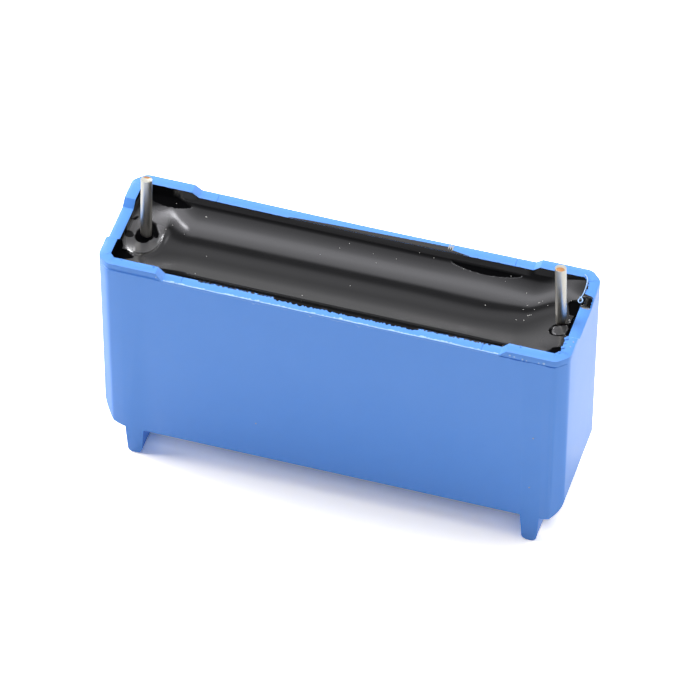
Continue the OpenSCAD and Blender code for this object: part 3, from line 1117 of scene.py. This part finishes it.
# The matt black in the voids is painted shade, where the holes and pockets would lie in shadow.
void = Value.node(tree, "ShaderNodeAttribute", {"attribute_name": "void_share"}, output="Fac")
painted_void_shade = Value.node(tree, "ShaderNodeBsdfDiffuse", inputs={"Color": RESIN_CLEAR})
both = Value.node(tree, "ShaderNodeMixShader", inputs={0: void, 1: Value(shader.outputs[0]), 2: painted_void_shade})
plug(tree, both, tree.nodes["Material Output"].inputs["Surface"])

# %% [markdown]
# ## Finish: wire
# The wire's tin is a dull metal with streaks along its length, so its noise is stretched upwards. The cut tip
# shows bright copper, dragged across by the cutter's edge.

# %% Finish: tinned wire and cut copper
TIN, TIN_DARK = (0.72, 0.7, 0.64, 1), (0.5, 0.48, 0.42, 1)
COPPER, COPPER_DARK = (0.72, 0.36, 0.15, 1), (0.5, 0.24, 0.1, 1)

tinned_wire, tree, shader, where = new_finish("tinned_wire", metallic=1.0)
streak = noise(tree, where, 2500.0, stretch=(1, 1, 0.08))
two_tone(tree, shader, streak, TIN, TIN_DARK)
plug(tree, 0.24 + 0.22 * streak, shader.inputs["Roughness"])

cut_copper, tree, shader, where = new_finish("cut_copper", 0.35, metallic=1.0)
two_tone(tree, shader, noise(tree, where, 4000.0, stretch=(1, 0.1, 1)), COPPER, COPPER_DARK)

# %% [markdown]
# ## Finish: flash, dust and hidden pieces
# Thin flash lets light through and looks paler than the case, so that light is painted as a paler colour.
# Dust is grey and matt, and some of the same grey specks stand as painted glints. The film roll and its
# sprayed ends are sealed in the resin, and get plain finishes too.

# %% Finish: flash and dust
# The paler tone is painted light: light that shines through and catches the thin plastic.
FLASH_BLUE, FLASH_PAINTED_LIGHT = (0.24, 0.47, 0.93, 1), (0.5, 0.7, 0.98, 1)
DUST_GREY, DUST_PALE = (0.34, 0.34, 0.34, 1), (0.6, 0.59, 0.57, 1)

flash_painted_light, tree, shader, where = new_finish("flash_painted_light", 0.45)
two_tone(tree, shader, noise(tree, where, 4000.0), FLASH_BLUE, FLASH_PAINTED_LIGHT)

dust_and_painted_glints, tree, shader, where = new_finish("dust_and_painted_glints", 0.8)
two_tone(tree, shader, noise(tree, where, 6000.0), DUST_GREY, DUST_PALE)

# %% Finish: hidden pieces
FILM_PALE, FILM_DARK = (0.6, 0.58, 0.52, 1), (0.48, 0.46, 0.42, 1)
ZINC, ZINC_DARK = (0.45, 0.46, 0.48, 1), (0.3, 0.31, 0.33, 1)

film_roll, tree, shader, where = new_finish("film_roll", 0.3)
two_tone(tree, shader, noise(tree, where, 3000.0, stretch=(0.02, 1, 1)), FILM_PALE, FILM_DARK)

sprayed_zinc, tree, shader, where = new_finish("sprayed_zinc", metallic=1.0)
splat = noise(tree, where, 2500.0)
two_tone(tree, shader, splat, ZINC, ZINC_DARK)
plug(tree, 0.55 + 0.25 * splat, shader.inputs["Roughness"])

# %% [markdown]
# ## Dress the part
# Each piece gets its finish, and the tip of each wire a second one. The new pieces then take the place of the
# solids that they were made for, and ride on the part's one body.

# %% Give the pieces their finishes
COPPER_AREA, COPPER_DEPTH = 0.2 * MM * MM, 0.5


def give(piece, *finishes):
    piece.data.materials.clear()
    for finish in finishes:
        piece.data.materials.append(finish)


give(case, moulded_blue)
give(resin, black_resin)
for lead in (lead_left, lead_right):
    give(lead, tinned_wire, cut_copper)
    for face in lead.data.polygons:
        if face.normal.z > 0.8 and face.center.z > (TIP_Z - COPPER_DEPTH) * MM and face.area > COPPER_AREA:
            face.material_index = 1
give(flash, flash_painted_light)
give(thread, flash_painted_light)
give(dust_and_glints, dust_and_painted_glints)
give(burrs, moulded_blue)
give(teeth, flash_painted_light)
give(splashes, dust_and_painted_glints)
give(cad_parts["winding"], film_roll)
for name in ("end_contact_left", "end_contact_right"):
    give(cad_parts[name], sprayed_zinc)
print("faces of cut copper:", sum(face.material_index for face in lead_left.data.polygons))

# %% Take the solids' places
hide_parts("case")
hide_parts("potting")
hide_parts("lead_left")
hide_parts("lead_right")
for piece in (case, resin, lead_left, lead_right, flash, thread, dust_and_glints, burrs, teeth, splashes):
    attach(piece, "root")
    print(piece.name, "rides on root")

# %% [markdown]
# ## Studio: floor
# The part stands on plain white paper. For the camera the paper carries a painted shadow: it is darker under
# the case, and warmer at the edge of the shadow. Metal and resin mirror an untoned sheet.

# %% Floor
# The deep and edge colours are a painted shadow, seen by the camera only.
OPEN_PAPER, PAINTED_SHADOW_EDGE_PAPER, PAINTED_SHADOW_PAPER = (2.25, 2.08, 1.78, 1), (2.9, 2.4, 1.72, 1), (0.95, 0.84, 0.68, 1)
LIT_PAPER, MIRRORED_PAPER = (0.8, 0.8, 0.8, 1), (0.95, 0.95, 0.95, 1)
SHADE_X, SHADE_X_FADE = 18.5, 2.0
DEEP_Y, DEEP_Y_FADE, EDGE_Y = 2.6, 1.6, 4.3

select_only()
bpy.ops.mesh.primitive_plane_add(size=3.0)
floor = bpy.context.object
floor.name = "studio_floor"
paper, tree, shader, where = new_finish("paper", 0.9)
rays = Value.node(tree, "ShaderNodeLightPath").socket.node.outputs
mirrored = Value(rays["Is Glossy Ray"]) + Value(rays["Is Transmission Ray"])
colour = blend_colours(tree, mirrored, LIT_PAPER, MIRRORED_PAPER)
axes = Value.node(tree, "ShaderNodeSeparateXYZ", inputs={0: where}).socket.node.outputs
off_x, off_y = (Value(axes[axis]).maths("ABSOLUTE") * (1 / MM) for axis in "XY")
past_end = (off_x - SHADE_X) * (1 / SHADE_X_FADE)
past_deep = past_end.maths("MAXIMUM", (off_y - DEEP_Y) * (1 / DEEP_Y_FADE))
shade = blend_colours(tree, past_deep, PAINTED_SHADOW_PAPER, PAINTED_SHADOW_EDGE_PAPER)
shade = blend_colours(tree, past_end.maths("MAXIMUM", off_y - EDGE_Y), shade, OPEN_PAPER)
colour = blend_colours(tree, Value(rays["Is Camera Ray"]), colour, shade)
plug(tree, colour, shader.inputs["Base Color"])
give(floor, paper)

# %% [markdown]
# ## Studio: lamps
# Two wide soft lamps light the part from both sides. Three smaller ones stand where the resin shows a glint,
# because a mirror shows a lamp at its own size.

# %% Lamps
LAMPS = {
    "lamp_left": ((-0.62, 0.05, 0.45), (0.5, 0.5), 5.0),
    "lamp_right": ((0.5, 0.5, 0.45), (0.5, 0.5), 0.9),
    "lamp_streak": ((-0.022, 0.273, 0.667), (0.05, 0.03), 0.085),
    "lamp_window": ((-0.129, 0.129, 0.125), (0.018, 0.018), 0.035),
    "lamp_sill": ((-0.066, 0.673, 0.2), (0.06, 0.06), 0.4),
}

for name, (spot_m, size_m, power) in LAMPS.items():
    lamp = bpy.data.objects.new(name, bpy.data.lights.new(name, "AREA"))
    bpy.context.scene.collection.objects.link(lamp)
    lamp.data.shape, lamp.data.size, lamp.data.size_y = "RECTANGLE", *size_m
    lamp.data.energy = power
    lamp.location = spot_m
    lamp.rotation_mode = "QUATERNION"
    lamp.rotation_quaternion = Vector(spot_m).to_track_quat("Z", "Y")
    lamp.visible_camera = False
    print(name, "W:", power)

# %% [markdown]
# ## Studio: room
# The world is the room that the resin mirrors. Its light changes only with the angle over the back: a pale
# wall, a dark gap and a wide soft light overhead, which give the trough its two bands. The camera sees white.

# %% Room
GLOW = (
    (0, 0.9), (10, 0.95), (19, 1.2), (27, 0.86), (35, 0.72), (43, 1.0), (48, 0.95), (53, 0.3), (59.5, 0.25),
    (62, 2.0), (67.5, 2.85), (71.6, 3.65), (76, 3.4), (79, 2.1), (84, 1.3), (88, 0.95), (92, 0.58), (98, 0.3),
    (108, 0.12), (140, 0.12), (158, 0.45), (180, 0.6),
)
BRIGHTEST = max(level for _, level in GLOW)

room = bpy.data.worlds.new("room")
bpy.context.scene.world = room
room.use_nodes = True
tree = room.node_tree
background = tree.nodes["Background"]
direction = Value.node(tree, "ShaderNodeTexCoord", output="Generated")
axes = Value.node(tree, "ShaderNodeSeparateXYZ", inputs={0: direction}).socket.node.outputs
over_back = Value(axes["Z"]).maths("ARCTAN2", Value(axes["Y"]))
stops = [(turn / 180, (level / BRIGHTEST,) * 3) for turn, level in GLOW]
glow = Value.node(tree, "ShaderNodeValToRGB", {"stops": stops}, {"Fac": over_back * (1 / math.pi)})
seen = Value.node(tree, "ShaderNodeLightPath", output="Is Camera Ray")
plug(tree, blend_colours(tree, seen, glow, (1 / BRIGHTEST,) * 3 + (1,)), background.inputs["Color"])
background.inputs["Strength"].default_value = BRIGHTEST
bpy.context.scene.view_settings.view_transform = "Standard"
print("room: brightest", BRIGHTEST)
